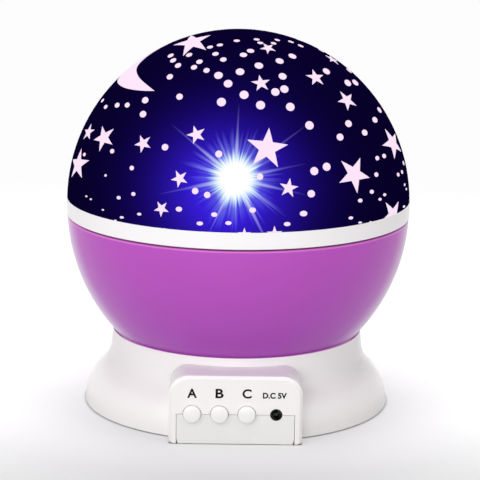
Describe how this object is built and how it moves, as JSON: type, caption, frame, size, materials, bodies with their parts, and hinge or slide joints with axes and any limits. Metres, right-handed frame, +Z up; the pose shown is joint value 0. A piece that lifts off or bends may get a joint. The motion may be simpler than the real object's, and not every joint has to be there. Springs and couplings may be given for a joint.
{
  "type": "star night light projector",
  "caption": "Rotating star night light: flared white base with control panel, purple bowl on a geared turntable, and a dark printed star dome that twists off.",
  "frame": {"origin": "on the table, under the middle of the globe", "axes": "+Z up along the globe's axis, the control panel faces -Y, +X is to the right of the panel seen from the front"},
  "size_m": [0.125, 0.125, 0.137],
  "materials": {
    "white_shell": "glossy moulded plastic",
    "purple_bowl": "glossy moulded plastic",
    "star_dome": "glossy clear shell over a dark blue star print",
    "star_film": "printed film",
    "button_white": "glossy moulded plastic",
    "black_plastic": "moulded plastic",
    "gear_plastic": "acetal",
    "board_green": "solder mask",
    "rubber": "moulded rubber",
    "steel": "zinc plated",
    "lamp_lens": "clear epoxy",
    "cell_wrap": "printed sleeve",
    "wire_red": "vinyl insulation",
    "wire_blue": "vinyl insulation"
  },
  "bodies": {
    "base": {"base_shell": "white_shell", "bottom_cover": "white_shell", "rubber_feet": "rubber", "base_screws": "steel", "battery_cells": "cell_wrap", "battery_springs": "steel", "battery_contacts": "steel", "control_board": "board_green", "board_parts": "black_plastic", "tact_switches": "black_plastic", "dc_socket": "black_plastic", "socket_pin": "steel", "motor_can": "steel", "motor_gearbox": "white_shell", "motor_screws": "steel", "idler_pin": "steel", "lamp_post": "white_shell", "post_screws": "steel", "thrust_washer": "gear_plastic", "post_clip": "steel", "lamp_holder": "white_shell", "lamp_board": "board_green", "leds": "lamp_lens", "lamp_wires": "wire_red", "motor_wires": "wire_blue", "battery_wires": "wire_red"},
    "globe": {"bowl": "purple_bowl", "hub_gear": "gear_plastic", "hub_screws": "steel", "globe_deck": "white_shell", "deck_screws": "steel"},
    "dome": {"dome_shell": "star_dome", "star_film": "star_film", "dome_ring": "white_shell"},
    "idler": {"idler_gear": "gear_plastic"},
    "pinion": {"motor_pinion": "gear_plastic", "motor_shaft": "steel"},
    "light_button": {"button_light": "button_white"},
    "colour_button": {"button_colour": "button_white"},
    "rotate_button": {"button_rotate": "button_white"},
    "battery_hatch": {"battery_door": "white_shell", "door_screw": "steel"}
  },
  "joints": [
    {"name": "globe_spin", "type": "hinge", "parent": "base", "child": "globe", "pos_m": [0, 0, 0.0249], "axis": [0, 0, 1], "continuous": true},
    {"name": "dome_twist", "type": "hinge", "parent": "globe", "child": "dome", "pos_m": [0, 0, 0.0745], "axis": [0, 0, 1], "range_deg": [0, 20]},
    {"name": "idler_spin", "type": "hinge", "parent": "base", "child": "idler", "pos_m": [0.0261, 0.01217, 0.0222], "axis": [0, 0, 1], "continuous": true},
    {"name": "pinion_spin", "type": "hinge", "parent": "base", "child": "pinion", "pos_m": [0.03484, 0.00175, 0.0222], "axis": [0, 0, 1], "continuous": true},
    {"name": "light_button_press", "type": "slide", "parent": "base", "child": "light_button", "axis": [0, 1, 0], "range_m": [0, 0.0005], "stiffness_N_per_m": 1000, "springref_m": -0.0005},
    {"name": "colour_button_press", "type": "slide", "parent": "base", "child": "colour_button", "axis": [0, 1, 0], "range_m": [0, 0.0005], "stiffness_N_per_m": 1000, "springref_m": -0.0005},
    {"name": "rotate_button_press", "type": "slide", "parent": "base", "child": "rotate_button", "axis": [0, 1, 0], "range_m": [0, 0.0005], "stiffness_N_per_m": 1000, "springref_m": -0.0005},
    {"name": "battery_hatch_open", "type": "hinge", "parent": "base", "child": "battery_hatch", "pos_m": [0, -0.0249, 0.0013], "axis": [-1, 0, 0], "range_deg": [0, 50]}
  ],
  "couplings": [
    {"joint": "idler_spin", "follows": "globe_spin", "ratio": -2.2727},
    {"joint": "pinion_spin", "follows": "globe_spin", "ratio": 4.1667}
  ]
}
